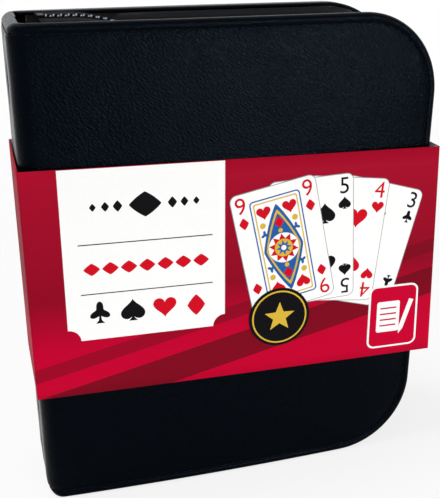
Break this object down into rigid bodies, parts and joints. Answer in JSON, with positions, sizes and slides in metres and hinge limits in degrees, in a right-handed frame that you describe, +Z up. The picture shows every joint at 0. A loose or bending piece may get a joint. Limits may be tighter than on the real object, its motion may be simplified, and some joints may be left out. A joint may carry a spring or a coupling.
{
  "type": "card case",
  "caption": "Zip-around leatherette case for two decks of playing cards, a notepad and a pencil, with book-like covers and a printed paper band round its middle.",
  "frame": {"origin": "bottom centre of the box round the closed case with its paper band, on the surface that it stands on", "axes": "+X from the spine to the fore edge, -Y out of the front cover, +Z up"},
  "size_m": [0.1238, 0.036, 0.1424],
  "materials": {
    "cover_leatherette": "fine grained black leatherette, soft sheen",
    "lining_cloth": "dark woven lining",
    "foam": "soft padding",
    "board": "grey board",
    "zip_tape": "black woven tape",
    "zip_teeth": "dark polished coil",
    "zip_metal": "black enamelled metal",
    "tray_plastic": "black moulded plastic",
    "cards": "cut card edges",
    "pad_paper": "writing paper",
    "pad_board": "grey board",
    "pad_binding": "dark red binding strip",
    "pencil_paint": "red lacquered wood",
    "pencil_core": "graphite",
    "elastic": "black elastic webbing",
    "band_paper": "red printed coated paper"
  },
  "bodies": {
    "back_cover": {"back_cover_skin": "cover_leatherette", "back_cover_foam": "foam", "back_cover_board": "board", "back_cover_lining": "lining_cloth", "zip_tape_back": "zip_tape", "zip_teeth_back": "zip_teeth", "zip_stops_back": "zip_metal", "card_tray": "tray_plastic", "card_deck_lower": "cards", "card_deck_upper": "cards"},
    "spine": {"spine_skin": "cover_leatherette", "spine_board": "board", "spine_lining": "lining_cloth"},
    "front_cover": {"front_cover_skin": "cover_leatherette", "front_cover_foam": "foam", "front_cover_board": "board", "front_cover_lining": "lining_cloth", "zip_tape_front": "zip_tape", "zip_teeth_front": "zip_teeth", "zip_stops_front": "zip_metal", "notepad_backing": "pad_board", "notepad_sheets": "pad_paper", "notepad_binding": "pad_binding", "notepad_pocket": "lining_cloth", "pencil_loop": "elastic"},
    "zip_slider": {"slider_body": "zip_metal", "slider_bail": "zip_metal"},
    "pull_tab": {"pull_tab": "zip_metal"},
    "pencil": {"pencil_barrel": "pencil_paint", "pencil_lead": "pencil_core"},
    "band_back": {"band_back_panel": "band_paper", "band_glue_flap": "band_paper"},
    "band_spine": {"band_spine_panel": "band_paper"},
    "band_front": {"band_front_panel": "band_paper", "band_fore_edge_panel": "band_paper"}
  },
  "joints": [
    {"name": "spine_fold", "type": "hinge", "parent": "back_cover", "child": "spine", "pos_m": [-0.0612, 0.01626, 0.071], "axis": [0, 0, -1], "range_deg": [0, 90]},
    {"name": "cover_fold", "type": "hinge", "parent": "spine", "child": "front_cover", "pos_m": [-0.0612, -0.01626, 0.071], "axis": [0, 0, -1], "range_deg": [0, 90]},
    {"name": "zip_slide", "type": "slide", "parent": "back_cover", "child": "zip_slider", "axis": [1, 0, 0], "range_m": [0, 0.07]},
    {"name": "tab_swing", "type": "hinge", "parent": "zip_slider", "child": "pull_tab", "pos_m": [-0.0452, 0, 0.00305], "axis": [0, 1, 0], "range_deg": [0, 150]},
    {"name": "pencil_slide", "type": "slide", "parent": "front_cover", "child": "pencil", "axis": [0, 0, 1], "range_m": [0, 0.013]},
    {"name": "band_back_slide", "type": "slide", "parent": "back_cover", "child": "band_back", "axis": [0, 0, 1], "range_m": [0, 0.108]},
    {"name": "band_spine_slide", "type": "slide", "parent": "spine", "child": "band_spine", "axis": [0, 0, 1], "range_m": [0, 0.108]},
    {"name": "band_front_slide", "type": "slide", "parent": "front_cover", "child": "band_front", "axis": [0, 0, 1], "range_m": [0, 0.108]}
  ],
  "couplings": [
    {"joint": "cover_fold", "follows": "spine_fold", "ratio": 1},
    {"joint": "band_spine_slide", "follows": "band_back_slide", "ratio": 1},
    {"joint": "band_front_slide", "follows": "band_back_slide", "ratio": 1}
  ]
}
